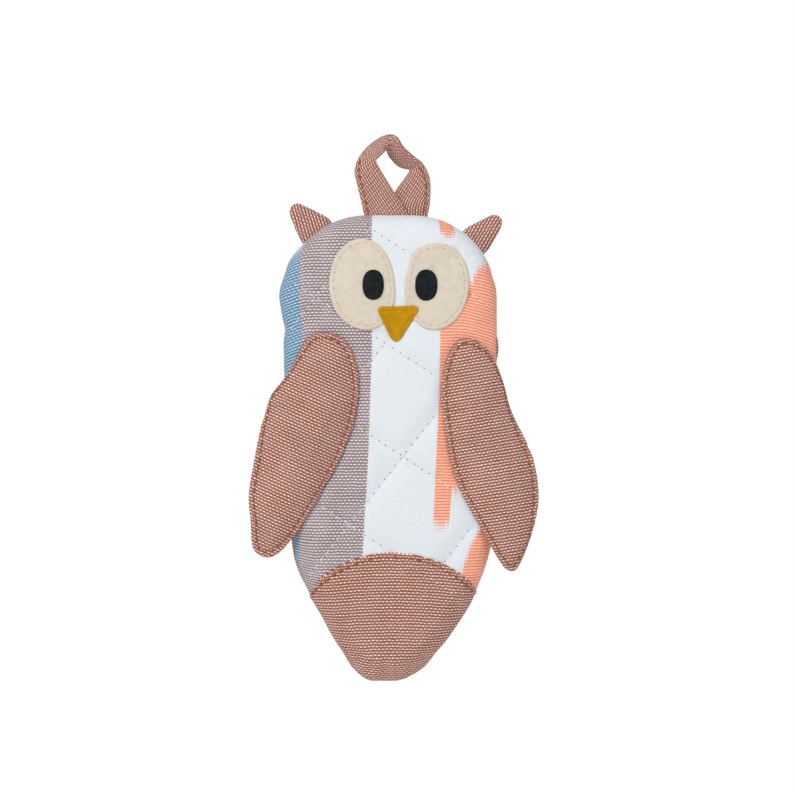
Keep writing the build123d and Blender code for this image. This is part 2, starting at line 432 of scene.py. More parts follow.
def make_piece(name, points, faces, flat, slot, nodes, levels=0):
    """A piece from millimetre points, with the flat pattern as its UV map, in millimetres.

    It stands for the CAD nodes and has the slot's material.
    """
    for _ in range(levels):
        points, flat, faces = divided(np.asarray(points), np.asarray(flat), faces)
    mesh = bpy.data.meshes.new(name)
    mesh.from_pydata((np.asarray(points) * MM).tolist(), [], faces)
    mesh.update()
    layer = mesh.uv_layers.new(name="cloth")
    corners = np.empty(len(mesh.loops), int)
    mesh.loops.foreach_get("vertex_index", corners)
    layer.data.foreach_set("uv", np.asarray(flat, float)[corners].astype(np.float32).ravel())
    mesh.polygons.foreach_set("use_smooth", [True] * len(mesh.polygons))
    mesh.materials.append(MATERIALS[slot])
    piece = linked(name, mesh)
    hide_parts(*nodes)
    return piece


def surface_of(*pieces):
    """The surfaces of pieces as one search tree, in millimetres."""
    points = []
    faces = []
    for piece in pieces:
        base = len(points)
        points += [tuple(v.co / MM) for v in piece.data.vertices]
        faces += [[base + i for i in p.vertices] for p in piece.data.polygons]
    return BVHTree.FromPolygons(points, faces)


def front_of(tree, flat):
    """The Y of the foremost surface at each point of the front view, and the way it faces."""
    heights = []
    normals = []
    for x, z in flat:
        hit, normal, _, _ = tree.ray_cast(Vector((x, -80.0, z)), Vector((0, 1, 0)))
        heights.append(hit.y if hit else -HALF_THICKNESS)
        normals.append(tuple(normal) if hit and normal.y < 0 else (0.0, -1.0, 0.0))
    return np.array(heights), np.array(normals)


def relaxed(values, faces, rounds):
    """Values at vertices, evened out over their neighbours."""
    pairs = np.array([(f[i], f[i - 1]) for f in faces for i in range(len(f))])
    pairs = np.vstack([pairs, pairs[:, ::-1]])
    amounts = np.maximum(np.bincount(pairs[:, 0], minlength=len(values)), 1)
    for _ in range(rounds):
        values = np.bincount(pairs[:, 0], values[pairs[:, 1]], len(values)) / amounts
    return values


# ---------------------------------------------------------------- cloth simulation
# The simulation works on an enlarged cloth, in metres for each millimetre
SIM_SCALE = 0.05
SIM_STEPS = 22
CLOTH_SETTINGS = {
    "quality": 6, "mass": 0.25, "tension_stiffness": 30, "compression_stiffness": 30,
    "shear_stiffness": 12, "bending_stiffness": 1.2, "air_damping": 4, "use_pressure": True,
    "vertex_group_mass": "pins",
}
# Pressure, the furthest that a point may move in millimetres, and the cloth's spare share
FRONT_PUFF = (2.2, 1.2, 0.01)
BACK_PUFF = (1.5, 1.0, 0.015)
WING_PUFF = (4.0, 1.6, 0.02)


def inflate(points, faces, pinned, pressure, limit, slack):
    """Blows a sewn cloth up between its pinned seams."""
    mesh = bpy.data.meshes.new("sewing")
    mesh.from_pydata((points * SIM_SCALE).tolist(), [], faces)
    piece = linked("sewing", mesh)
    group = piece.vertex_groups.new(name="pins")
    group.add([int(i) for i in np.flatnonzero(pinned)], 1.0, "REPLACE")
    cloth = piece.modifiers.new("cloth", "CLOTH")
    settings = cloth.settings
    for key, value in CLOTH_SETTINGS.items():
        setattr(settings, key, value)
    settings.uniform_pressure_force = pressure
    settings.shrink_min = -slack
    settings.effector_weights.gravity = 0
    cloth.collision_settings.use_collision = False
    cloth.point_cache.frame_start = 1
    cloth.point_cache.frame_end = SIM_STEPS
    scene = bpy.context.scene
    for step in range(1, SIM_STEPS + 1):
        scene.frame_set(step)
    graph = bpy.context.evaluated_depsgraph_get()
    result = piece.evaluated_get(graph).to_mesh()
    after = np.empty(len(result.vertices) * 3)
    result.vertices.foreach_get("co", after)
    after = after.reshape(-1, 3) / SIM_SCALE
    bpy.data.objects.remove(piece)
    bpy.data.meshes.remove(mesh)
    scene.frame_set(1)
    move = after - points
    size = np.linalg.norm(move, axis=1)
    share = np.minimum(1.0, limit / np.maximum(size, 1e-9))
    return points + move * share[:, None]


# ---------------------------------------------------------------- materials
class Nodes:
    """A short way to write the nodes of a material or a world."""

    def __init__(self, owner):
        owner.use_nodes = True
        self.owner = owner
        self.tree = owner.node_tree
        self.tree.nodes.clear()

    def add(self, kind, inputs=(), output=0, **settings):
        node = self.tree.nodes.new(kind)
        for key, value in settings.items():
            setattr(node, key, value)
        for key, value in dict(inputs).items():
            if isinstance(value, bpy.types.NodeSocket):
                self.tree.links.new(value, node.inputs[key])
            else:
                node.inputs[key].default_value = value
        return node.outputs[output]

    def math(self, operation, *values):
        return self.add("ShaderNodeMath", enumerate(values), operation=operation)

    def times(self, first, second):
        return self.math("MULTIPLY", first, second)

    def plus(self, first, second):
        return self.math("ADD", first, second)

    def less(self, first, second):
        return self.math("SUBTRACT", first, second)

    def scaled(self, value, factor, added):
        """The value times the factor, plus what is added."""
        return self.math("MULTIPLY_ADD", value, factor, added)

    def mix(self, factor, first, second, blend="MIX"):
        node_inputs = {0: factor, 6: first, 7: second}
        return self.add("ShaderNodeMix", node_inputs, 2, data_type="RGBA", blend_type=blend)

    def rise(self, value, low, high):
        """0 below low, 1 above high and smooth between."""
        node_inputs = {"Value": value, "From Min": low, "From Max": high}
        return self.add("ShaderNodeMapRange", node_inputs, interpolation_type="SMOOTHSTEP")

    def step(self, value, middle, soft):
        """0 before the middle and 1 after it, or the other way round where soft is negative."""
        return self.rise(value, middle - soft, middle + soft)

    def jump(self, value):
        """A random number for each whole step of the value."""
        whole = {"W": self.math("FLOOR", value)}
        return self.add("ShaderNodeTexWhiteNoise", whole, noise_dimensions="1D")

    def noise(self, where, scale, detail=2.0, output=0):
        node_inputs = {"Vector": where, "Scale": scale, "Detail": detail}
        return self.add("ShaderNodeTexNoise", node_inputs, output=output)

    def close(self, kind, shader):
        """Joins a shader to an output node of the kind."""
        self.tree.links.new(shader, self.tree.nodes.new(kind).inputs["Surface"])

    def finish(self, inputs, height=None, distance=0.0):
        if height is not None:
            bump = {"Height": height, "Distance": distance, "Strength": 1.0}
            inputs["Normal"] = self.add("ShaderNodeBump", bump)
        self.close("ShaderNodeOutputMaterial", self.add("ShaderNodeBsdfPrincipled", inputs))
        return self.owner


def cloth_nodes(name):
    """A new material, and the flat pattern's millimetres: the vector, across and along."""
    nodes = Nodes(bpy.data.materials.new(name))
    where = nodes.add("ShaderNodeUVMap", uv_map="cloth")
    across = nodes.add("ShaderNodeSeparateXYZ", {0: where})
    return nodes, where, across, across.node.outputs[1]


def colour(red, green, blue):
    """A colour given as it looks on a screen, 0 to 255, as the shader wants it."""
    linear = []
    for value in (red, green, blue):
        part = value / 255
        linear.append(part / 12.92 if part <= 0.04045 else ((part + 0.055) / 1.055) ** 2.4)
    return (*linear, 1.0)


def plain_weave(nodes, where, across, along, warp, weft, gap, uneven=1.0):
    """Plain weave: colour with painted shade, and height. Weft threads run across, warp threads run along;
    where a thread dips between its neighbours, the gap colour is multiplied in as painted shade.
    """
    wander = nodes.scaled(nodes.noise(where, 0.3, 1.0), 0.5, -0.25)
    u = nodes.plus(nodes.math("DIVIDE", across, WARP_PITCH), wander)
    v = nodes.plus(nodes.math("DIVIDE", along, WEFT_PITCH), wander)
    in_warp = nodes.less(nodes.math("FRACT", u), 0.5)
    in_weft = nodes.less(nodes.math("FRACT", v), 0.5)
    over_u = nodes.math("SINE", nodes.times(u, math.pi))
    over_v = nodes.math("SINE", nodes.times(v, math.pi))
    over = nodes.times(over_u, over_v)
    plump = nodes.scaled(nodes.noise(where, 0.9, 2.0), -12.0, -4.5)
    warp_round = nodes.times(nodes.times(in_warp, in_warp), -2.4)
    weft_square = nodes.times(in_weft, in_weft)
    weft_round = nodes.times(weft_square, plump)
    warp_height = nodes.less(warp_round, nodes.times(over, 0.42))
    weft_height = nodes.plus(weft_round, nodes.times(over, 0.50))
    lead = nodes.less(weft_height, warp_height)
    on_top = nodes.rise(lead, -0.12, 0.16)
    height = nodes.math("MAXIMUM", warp_height, weft_height)
    thread = nodes.mix(on_top, warp, weft)
    shade = nodes.mix(on_top, nodes.jump(u), nodes.jump(nodes.plus(v, WEFT_SHADES)))
    shade = nodes.scaled(shade, 0.14 * uneven, 1 - 0.07 * uneven)
    fleck = nodes.scaled(nodes.noise(where, 1.3, 2.0), 0.7 * uneven, 1 - 0.35 * uneven)
    cloudy = nodes.scaled(nodes.noise(where, 0.055, 3.0), 0.22 * uneven, 1 - 0.11 * uneven)
    brightness = nodes.times(nodes.times(shade, cloudy), fleck)
    grey = nodes.add("ShaderNodeCombineColor", {0: brightness, 1: brightness, 2: brightness})
    thread = nodes.mix(1.0, thread, grey, "MULTIPLY")
    # Painted shade: where the threads dip down between rows and beside each other, the colour is multiplied
    # by the gap colour
    lit = nodes.scaled(weft_square, -2.2, height)
    depth = nodes.rise(lit, -0.50, 0.20)
    return nodes.mix(depth, nodes.mix(1.0, thread, gap, "MULTIPLY"), thread), height


def fine_weave(nodes, where, across, along, thread, gap):
    """Thin even threads of one colour, with painted shade in the fine lines between them: colour and height.
    """
    wander = nodes.scaled(nodes.noise(where, 0.25, 1.0), 0.9, -0.45)
    sides = []
    for value in (across, along):
        turn = nodes.times(nodes.plus(value, wander), math.pi / FINE_PITCH)
        sides.append(nodes.math("ABSOLUTE", nodes.math("SINE", turn)))
    height = nodes.math("MINIMUM", *sides)
    slub = nodes.scaled(nodes.noise(where, 0.7, 3.0), 0.5, -0.25)
    # Painted shade: the gap colour fills the low lines between the threads
    depth = nodes.rise(nodes.plus(height, slub), -0.05, 0.55)
    return nodes.mix(depth, gap, thread), nodes.times(height, 0.5)


CLOTH_FINISH = {"Roughness": 0.9, "Specular IOR Level": 0.15, "Sheen Weight": 0.06}


def brown_cotton():
    nodes, where, across, along = cloth_nodes("brown_cotton")
    fade = nodes.rise(nodes.noise(where, 0.09, 4.0), 0.35, 0.65)
    warp = nodes.mix(fade, colour(186, 134, 117), colour(192, 147, 134))
    weft = colour(251, 214, 201)
    # colour(178, 158, 154) is the painted shade between the threads
    shown, height = plain_weave(nodes, where, across, along, warp, weft, colour(178, 158, 154))
    return nodes.finish({"Base Color": shown, **CLOTH_FINISH}, height, 0.00018)


# Stripes of the front cloth: where blue, white and peach end or begin, across the warp
BLUE_EDGE = -34.0
WHITE_EDGE = -5.6
PEACH_EDGE = 21.6
BLUE_SOFT = 0.4
STRIPE_SOFT = 0.3
# Between these heights the blue stripe turns pale upwards
BLUE_FADE = (-41.0, -33.0)
# How much the dye's reach varies from thread to thread
RAGGED = 4.0
# Peach dye. Each pair is where it is absent and where it is full, along or across the warp.
TOP_DYE = (-34.5, -30.5)
TOP_DYE_RIGHT = (29.0, 27.4)
MAIN_DYE_START = (-63.5, -69.0)
MAIN_DYE_SLANT = -1.36
MAIN_DYE_SLANT_END = 40.0
MAIN_DYE_STOP = -148.5
MAIN_DYE_STOP_SOFT = (-4.5, 3.5)
# Right of here the main dye stops this much sooner
SHORT_DYE = (27.8, 28.6)
SHORT_DYE_BY = 14.6
LOW_DYE = (-146.0, -153.0)
LOW_DYE_SLANT = -2.85
LOW_DYE_SLANT_FROM = 39.9


def striped_cotton():
    nodes, where, across, along = cloth_nodes("striped_cotton")
    jump = nodes.jump(nodes.math("DIVIDE", across, WARP_PITCH))
    ragged = nodes.scaled(jump, RAGGED, along)
    white = colour(233, 236, 239)
    blue = nodes.mix(nodes.rise(ragged, *BLUE_FADE), colour(124, 167, 198), colour(206, 216, 224))
    mauve = nodes.mix(nodes.rise(nodes.noise(where, 0.1, 3.0), 0.35, 0.65),
                      colour(174, 154, 154), colour(184, 168, 171))
    peach = colour(254, 180, 150)

    top = nodes.times(nodes.rise(ragged, *TOP_DYE), nodes.rise(across, *TOP_DYE_RIGHT))
    from_edge = nodes.less(nodes.math("MINIMUM", across, MAIN_DYE_SLANT_END), PEACH_EDGE)
    started = nodes.rise(nodes.scaled(from_edge, MAIN_DYE_SLANT, ragged), *MAIN_DYE_START)
    stop = nodes.scaled(nodes.rise(across, *SHORT_DYE), SHORT_DYE_BY, MAIN_DYE_STOP)
    running = nodes.rise(nodes.less(ragged, stop), *MAIN_DYE_STOP_SOFT)
    main = nodes.times(started, running)
    from_low = nodes.less(across, LOW_DYE_SLANT_FROM)
    low_band = nodes.rise(nodes.scaled(from_low, LOW_DYE_SLANT, ragged), *LOW_DYE)
    dyed = nodes.math("MAXIMUM", nodes.math("MAXIMUM", top, main), low_band)
    dyed = nodes.times(dyed, nodes.step(across, PEACH_EDGE, STRIPE_SOFT))

    past_blue = nodes.step(across, BLUE_EDGE, BLUE_SOFT)
    past_mauve = nodes.step(across, WHITE_EDGE, STRIPE_SOFT)
    warp = nodes.mix(past_mauve, nodes.mix(past_blue, blue, mauve), white)
    warp = nodes.mix(dyed, warp, peach)
    tinted = nodes.mix(past_blue, colour(194, 218, 236), colour(232, 222, 224))
    weft = nodes.mix(past_mauve, tinted, white)
    weft = nodes.mix(dyed, weft, colour(255, 208, 184))
    coloured = nodes.math("MAXIMUM", dyed, nodes.step(across, WHITE_EDGE, -STRIPE_SOFT))
    # The gap colours are painted shade between the threads: for the white, the coloured stripes and the
    # peach dye
    gap = nodes.mix(coloured, colour(232, 235, 238), colour(188, 184, 186))
    gap = nodes.mix(dyed, gap, colour(226, 190, 182))
    shown, height = plain_weave(nodes, where, across, along, warp, weft, gap, 0.6)
    # colour(195, 203, 210) is the painted shade in the fine lines between the white threads
    fine_shown, fine_height = fine_weave(
        nodes, where, across, along, colour(225, 229, 232), colour(195, 203, 210))
    shown = nodes.mix(coloured, fine_shown, shown)
    height = nodes.times(height, coloured)
    height = nodes.scaled(fine_height, nodes.less(1.0, coloured), height)
    return nodes.finish({"Base Color": shown, **CLOTH_FINISH}, height, 0.00012)


def felt(name, main, deep, fibre):
    """Matted fibres: a clouded colour, short pale fibres and a hairy surface."""
    nodes, where, _, _ = cloth_nodes(name)
    cloud = nodes.noise(where, 0.35, 4.0)
    base = nodes.mix(nodes.rise(cloud, 0.3, 0.7), colour(*deep), colour(*main))
    push = nodes.noise(where, 1.1, 2.0, output=1)
    bent = nodes.add("ShaderNodeVectorMath", {0: where, 1: push}, operation="ADD")
    strands_colour = nodes.add("ShaderNodeTexWave", {
        "Vector": bent, "Scale": 2.3, "Distortion": 22.0, "Detail": 4.0, "Detail Scale": 1.4}, output=1)
    hairs = nodes.rise(strands_colour, 0.82, 1.0)
    base = nodes.mix(nodes.times(hairs, 0.35), base, colour(*fibre))
    fine = nodes.noise(where, 5.5, 3.0)
    height = nodes.scaled(strands_colour, 0.35, nodes.times(fine, 0.65))
    finish = {"Base Color": base, "Roughness": 0.95, "Specular IOR Level": 0.08}
    return nodes.finish(finish, height, 0.00016)


def sewing_thread(name, light, dark, hole):
    """Twisted thread: fine bands along it, and painted shade at both ends, where it dips into the cloth."""
    nodes, where, length, share = cloth_nodes(name)
    band = nodes.scaled(nodes.math("SINE", nodes.times(length, 14.0)), 0.5, 0.5)
    fleck = nodes.rise(nodes.noise(where, 1.5, 2.0), 0.3, 0.7)
    shown = nodes.mix(nodes.times(band, fleck), colour(*dark), colour(*light))
    # Painted shade: the hole colour darkens the ends of each stitch, where it sinks into the cloth
    sunk = nodes.rise(nodes.math("ABSOLUTE", share), 0.74, 0.86)
    shown = nodes.mix(sunk, shown, colour(*hole))
    finish = {"Base Color": shown, "Roughness": 0.75, "Specular IOR Level": 0.2}
    return nodes.finish(finish, band, 0.00003)


def plain_floor():
    nodes = Nodes(bpy.data.materials.new("floor"))
    where = nodes.add("ShaderNodeTexCoord", output=3)
    speck = nodes.noise(where, 30.0, 3.0)
    shown = nodes.mix(speck, colour(236, 236, 235), colour(244, 244, 243))
    return nodes.finish({"Base Color": shown, "Roughness": 0.8})


# Every material by the name of its slot
MATERIALS = {"brown_cotton": brown_cotton(), "striped_cotton": striped_cotton()}
for name, main, deep, fibre in (
    ("cream_felt", (234, 221, 203), (226, 212, 193), (244, 236, 224)),
    ("charcoal_felt", (36, 41, 45), (22, 26, 29), (64, 70, 74)),
    ("mustard_felt", (209, 156, 20), (197, 142, 12), (221, 171, 40)),
):
    MATERIALS[name] = felt(name, main, deep, fibre)
# Each thread: its light and dark colours, and the hole colour, which is painted shade at the stitch ends and
# in the needle holes
for name, light, dark, hole in (
    ("white_thread", (240, 240, 238), (214, 216, 218), (146, 141, 145)),
    ("rust_thread", (174, 108, 74), (138, 82, 54), (100, 60, 44)),
    ("cream_thread", (230, 216, 196), (219, 204, 182), (166, 150, 119)),
    ("charcoal_thread", (48, 52, 56), (24, 27, 30), (10, 11, 12)),
    ("mustard_thread", (202, 149, 20), (182, 128, 12), (128, 84, 6)),
):
    MATERIALS[name] = sewing_thread(name, light, dark, hole)


# ---------------------------------------------------------------- body
def quarter_round(width, height):
    """The edge of the pad in section: each angle's distance along the rounding."""
    angle = np.linspace(0.0, math.pi / 2, 240)
    run = width * (1 - np.cos(angle))
    rise = height * np.sin(angle)
    return angle, np.concatenate([[0.0], np.cumsum(np.hypot(np.diff(run), np.diff(rise)))])


def back_shows(flat):
    """Where the back cloth rolls forwards past the side seam: 0 nowhere, 1 fully."""
    x, z = flat[:, 0], flat[:, 1]
    left = window(z, *LEFT_ROLL) * (x < 0)
    right = window(z, *RIGHT_ROLL) * (x > 0)
    return np.maximum(np.maximum(left, right), 0.5 * window(z, *FOOT_ROLL))


def silhouette(points):
    """Small uneven pulls of the side seams, and the sagging foot."""
    x, z = points[:, 0], points[:, 2]
    half_width = np.interp(z, *HALF_WIDTHS)
    edge = clamped((np.abs(x - BODY_MIDDLE) / half_width - STILL_SHARE) / (1 - STILL_SHARE))
    points[:, 0] += np.where(x < 0, -bells(z, LEFT_SEAM_PULLS), bells(z, RIGHT_SEAM_PULLS)) * edge
    points[:, 2] -= bells(x, FOOT_SAGS) * clamped((FOOT_TOP - z) / FOOT_HEIGHT)
    return points


# Lowest and highest Z where the back cloth shows, and how softly that starts and ends
LEFT_ROLL = (-179.0, -150.0, 2.0)
RIGHT_ROLL = (-84.0, -74.0, 1.5)
FOOT_ROLL = (-230.0, -206.0, 2.0)
ROLL_ANGLE = math.radians(33)
# Pulls of the side seams: how far out, the Z of the middle and the reach along the seam
LEFT_SEAM_PULLS = [(1.2, -43.0, 5.0), (1.4, -57.0, 7.5), (-0.8, -71.5, 3.0), (0.8, -166.0, 7.0),
                   (-0.7, -185.0, 7.0), (-0.5, -201.0, 4.0), (1.5, -208.5, 4.2)]
RIGHT_SEAM_PULLS = [(1.2, -79.0, 6.0), (-0.5, -50.0, 3.0), (0.6, -186.0, 10.0), (-1.1, -201.8, 3.6)]
# The body's middle, its rough half width at three heights, and the share that no pull moves
BODY_MIDDLE = 1.5
HALF_WIDTHS = ([-212.0, -165.0, -45.0], [6.0, 38.0, 42.0])
STILL_SHARE = 0.6
# The foot hangs lower: how far, the X of the middle and the reach
FOOT_SAGS = [(0.8, -6.0, 10.0), (1.0, -7.0, 4.5), (0.6, 6.0, 4.5)]
FOOT_TOP = -202.0
FOOT_HEIGHT = 8.0
# The stuffing gets thinner below here, over this length
THIN_FROM = -150.0
THIN_LENGTH = 62.0

ANGLE, LENGTH = quarter_round(EDGE_WIDTH, HALF_THICKNESS)
ROUND = LENGTH[-1]
EXTRA = ROUND - EDGE_WIDTH
BODY_OUTLINE = moved_in(node_outline("front_panel", PANEL_SPACING), -SEAM_GROOVE - 0.2)
BODY_PATTERN_LOOP = resample(moved_in(BODY_OUTLINE, -EXTRA), PANEL_SPACING)


def padded_side(flat, side):
    """The flat pattern laid over one side of the stuffed body. side is -1 for the front."""
    depth, inward = inside(flat, BODY_PATTERN_LOOP)
    depth = np.maximum(depth, 0.0)
    roll = ROLL_ANGLE * back_shows(flat)
    start = roll if side < 0 else -roll
    start_length = np.interp(np.abs(start), ANGLE, LENGTH) * np.sign(start)
    length = start_length + depth * (ROUND - start_length) / ROUND
    angle = np.interp(np.abs(length), LENGTH, ANGLE) * np.sign(length)
    past_round = np.maximum(depth - ROUND, 0.0)
    run = EDGE_WIDTH * (1 - np.cos(angle)) + past_round
    rise = HALF_THICKNESS * np.sin(angle)
    run = run + SEAM_GROOVE * bell(depth, 0.0, SEAM_GROOVE_WIDTH)
    rise = rise + CROWN * (1 - np.exp(-past_round / CROWN_REACH))
    rise = rise * (1 - TAIL_THINNING * clamped((THIN_FROM - flat[:, 1]) / THIN_LENGTH) ** 1.5)
    place = flat + inward * (EXTRA + run - depth)[:, None]
    return placed(place, side * rise), depth


def quilting_lines():
    lines = []
    for degrees, distances in QUILTING_SETS:
        normal = np.array([math.cos(math.radians(degrees)), math.sin(math.radians(degrees))])
        along = np.array([-normal[1], normal[0]])
        for distance in distances:
            reach = np.arange(-260.0, 260.0, PANEL_SPACING)
            lines.append(normal * distance + reach[:, None] * along)
    return lines


def tail_arc(radius, spacing):
    steps = int(math.pi * radius / spacing)
    angle = np.linspace(*map(math.radians, TAIL_ARC), steps)
    return TAIL_CENTRE + radius * np.column_stack([np.cos(angle), np.sin(angle)])


def with_hem(flat, faces, ring, points):
    """Adds the seam allowance that turns into the body from a panel's edge."""
    hem = points[ring]
    hem[:, [0, 2]] += loop_normals(hem[:, [0, 2]]) * HEM
    hem_faces = band(ring, list(range(len(points), len(points) + len(ring))))
    return np.vstack([points, hem]), faces + hem_faces, np.vstack([flat, flat[ring]])


# The warp leans over by this much where the cloth is this far below the height it starts at
WARP_LEAN = 3.4
WARP_LEAN_FROM = -75.0
WARP_LEAN_LENGTH = 82.0
# The weft hangs down past these X, by this share, between these heights
LEFT_HANG = (BLUE_EDGE + 2.0, 0.30, (-125.0, -28.0, 6.0))
RIGHT_HANG = (31.0, 0.24, (-104.0, -48.0, 6.0))


def drifted(flat):
    """The striped cloth's own coordinates, as its threads lie on the body."""
    x, z = flat[:, 0], flat[:, 1]
    below = np.maximum((WARP_LEAN_FROM - z) / WARP_LEAN_LENGTH, 0.0)
    hang = 0.0
    for way, (from_x, share, heights) in ((-1, LEFT_HANG), (1, RIGHT_HANG)):
        hang = hang + share * (np.maximum(way * (x - from_x), 0.0) * window(z, *heights))
    return np.column_stack([x + WARP_LEAN * below**1.5, z + hang])


def wing_shadow(points):
    """How much a wing presses on each point of the front, from 0 to 1."""
    front_view = points[:, [0, 2]]
    pressed = np.zeros(len(points))
    for side in SIDES:
        depth = inside(front_view, node_outline(f"{side}_wing_back", 3.0))[0]
        pressed = np.maximum(pressed, clamped((depth + 3.0) / 4.0))
    return pressed


def build_front():
    lines = quilting_lines()
    arc = tail_arc(TAIL_RADIUS, PANEL_SPACING)
    flat, faces, ring = pattern(BODY_PATTERN_LOOP, PANEL_SPACING, lines + [arc])
    points, depth = padded_side(flat, -1)
    from_quilting = np.min([line_distance(flat, line[[0, -1]]) for line in lines], axis=0)
    above_tail = np.linalg.norm(flat - TAIL_CENTRE, axis=1) - TAIL_RADIUS
    inner = clamped(depth / ROUND) ** 2 * clamped(above_tail / 3.0 + 1.0)
    points[:, 1] += QUILTING_PULL * bell(from_quilting, 0.0, QUILTING_WIDTH) * inner
    pinned = (from_quilting < ON_LINE) & (depth > PINNED_EDGE) & (above_tail > 0.0)
    pinned[ring] = True
    ease = clamped((depth - PINNED_EDGE) / EASE_WIDTH)[:, None]
    points = points + (inflate(points, faces, pinned, *FRONT_PUFF) - points) * ease
    over = np.minimum(points[:, 1] + WING_BACK - UNDER_WING, 0.0)
    points[:, 1] -= over * wing_shadow(points)
    return flat, faces, ring, silhouette(points), above_tail < ON_LINE / 2


def build_back():
    flat, faces, ring = pattern(BODY_PATTERN_LOOP, PANEL_SPACING * 1.25)
    points, _ = padded_side(flat, 1)
    pinned = np.zeros(len(flat), bool)
    pinned[ring] = True
    points = inflate(points, [face[::-1] for face in faces], pinned, *BACK_PUFF)
    return flat, faces, ring, silhouette(points)


def make_body():
    flat, faces, ring, points, below_arc = build_front()
    full, full_faces, full_flat = with_hem(flat, faces, ring, points)
    front = make_piece("front_panel_cloth", full, full_faces, drifted(full_flat), "striped_cotton",
                       ["front_panel", "front_wadding", "body_filling"], 1)
    full, full_faces, full_flat = with_hem(*build_back())
    full_faces = [face[::-1] for face in full_faces]
    back = make_piece("back_panel_cloth", full, full_faces, full_flat, "brown_cotton", ["back_panel"], 1)
    for panel in (front, back):
        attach(panel, "body")
    return front, *make_tail(flat, faces, points, below_arc)


def make_tail(flat, faces, points, below_arc):
    """The tail patch lies on the front, and its arched top edge is folded under."""
    own = [face for face in faces if all(below_arc[i] for i in face)]
    used = sorted({i for face in own for i in face})
    index = {old: new for new, old in enumerate(used)}
    own = [[index[i] for i in face] for face in own]
    flat = flat[used]
    under = points[used]
    normals = np.zeros_like(under)
    for face in own:
        a, b, c = (under[i] for i in face)
        turn = np.cross(b - a, c - a)
        for i in face:
            normals[i] += turn
    normals = unit(normals)
    depth = inside(flat, BODY_PATTERN_LOOP)[0]
    below = TAIL_RADIUS - np.linalg.norm(flat - TAIL_CENTRE, axis=1)
    lift = TAIL_CLOTH * (0.35 + 0.65 * clamped(depth / 3.0))
    lift = lift + 0.35 * clamped(1 - np.abs(below - 0.5) / 1.2)
    lift = lift - 0.30 * bell(below, TAIL_SEAM, 0.8)
    top = under + normals * lift[:, None]
    edges = [(face[i], face[(i + 1) % 3]) for face in own for i in range(3)]
    known = set(edges)
    border = [edge for edge in edges if edge[::-1] not in known]
    ring = sorted({i for edge in border for i in edge})
    place = {old: k for k, old in enumerate(ring)}
    outward = unit(flat[ring] - TAIL_CENTRE)
    on_arc = (below[ring] < 0.05)[:, None]
    middle = under[ring] + normals[ring] * (TAIL_CLOTH * 0.45)
    middle[:, [0, 2]] += outward * 0.35 * on_arc
    foot = under[ring] - normals[ring] * 0.25
    foot[:, [0, 2]] += outward * 0.1 * on_arc
    base = len(top)
    size = len(ring)
    sides = []
    for a, b in border:
        i, j = place[a], place[b]
        for near, far in (((a, b), (base + i, base + j)),
                          ((base + i, base + j), (base + size + i, base + size + j))):
            sides.append([near[1], near[0], far[0]])
            sides.append([near[1], far[0], far[1]])
    all_points = np.vstack([top, middle, foot])
    arch = TAIL_ARCH * (flat[:, 0] - TAIL_CENTRE[0]) ** 2
    own_flat = np.column_stack([flat[:, 0], flat[:, 1] + arch])
    all_flat = np.vstack([own_flat, own_flat[ring], own_flat[ring]])
    tail = make_piece("tail_patch_cloth", all_points, own + sides, all_flat, "brown_cotton",
                      ["tail_patch"], 1)
    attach(tail, "body")
    return tail, cut_size(flat, own)


# ---------------------------------------------------------------- pads with a front and a back
def turned(flat, degrees):
    """Pattern coordinates with the weft along the given direction."""
    c, s = math.cos(math.radians(degrees)), math.sin(math.radians(degrees))
    return np.column_stack([flat[:, 0] * c + flat[:, 1] * s, -flat[:, 0] * s + flat[:, 1] * c])


def closed_pad(name, flat, faces, ring, front_y, back_y, grain, nodes):
    """A brown pad from one pattern: a front and a back that share their edge."""
    count = len(flat)
    shared = set(ring)
    inner = [i for i in range(count) if i not in shared]
    behind = {i: count + k for k, i in enumerate(inner)}
    points = np.vstack([placed(flat, front_y), placed(flat, back_y)[inner]])
    back_faces = [[behind.get(i, i) for i in face][::-1] for face in faces]
    own_flat = turned(flat, grain)
    own_flat = np.vstack([own_flat, own_flat[inner]])
    return make_piece(name, points, faces + back_faces, own_flat, "brown_cotton", nodes, 1)


def seam_distance(points, side):
    """How far from the edge a wing is sewn, near each point."""
    distance = np.full(len(points), WING_SEAM)
    for x, z, reach, amount in SEAM_SHIFTS[side]:
        distance -= amount * nearness(points, x, z, reach)
    return distance


def make_wing(side):
    """A wing: a flat sewn border, a pulled-in line of topstitching and a puffed middle."""
    outline = node_outline(f"{side}_wing_back", WING_SPACING)
    seam = resample(moved_in(outline, seam_distance(outline, side)[:, None]), WING_SPACING)
    flat, faces, ring = pattern(outline, WING_SPACING, [np.vstack([seam, seam[:1]])])
    depth = depth_in(flat, outline)
    sewn = seam_distance(flat, side)
    border = WING_BORDER * rounded(depth, WING_EDGE)
    border = border - WING_PRESSED * clamped((depth / sewn - WING_FLAT) / (1 - WING_FLAT)) ** 2
    puff = (WING_DEPTH - WING_EDGE) * (1 - np.exp(-np.maximum(depth - sewn, 0.0) / WING_RISE))
    start = placed(flat, -(border + puff))
    swollen = inflate(start, faces, depth < sewn + 0.05, *WING_PUFF)
    edge_y = -WING_BACK - WING_CLEAR
    front_y = edge_y + swollen[:, 1]
    front_y[ring] = edge_y
    back_y = edge_y + 0.5 * rounded(depth, WING_EDGE) - 0.025 * clamped(depth - 0.6)
    nodes = [f"{side}_wing_{layer}" for layer in ("front", "wadding", "back")]
    wing = closed_pad(f"{side}_wing_cloth", flat, faces, ring, front_y, back_y, WING_GRAINS[side], nodes)
    return wing, seam


